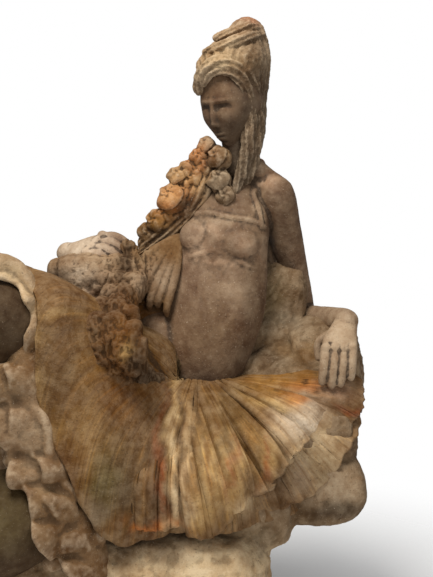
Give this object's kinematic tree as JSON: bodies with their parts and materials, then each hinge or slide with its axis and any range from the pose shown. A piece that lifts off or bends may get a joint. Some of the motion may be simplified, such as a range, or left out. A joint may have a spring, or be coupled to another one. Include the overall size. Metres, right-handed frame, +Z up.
{
  "type": "ballerina sculpture",
  "caption": "Fired clay figure of a resting ballerina with high piled hair, a rose garland and a pleated skirt, leaning back on a rock that is the base.",
  "frame": {"origin": "on the flat underside of the rock, which rests on the table, below the middle of the rock's stem", "axes": "+Z up, +X towards the supporting left hand, -Y towards the side that the chest faces"},
  "size_m": [0.6219, 0.3183, 0.6289],
  "materials": {
    "fired_clay": "matt"
  },
  "bodies": {
    "root": {"ballerina_sculpture": "fired_clay"}
  },
  "joints": []
}
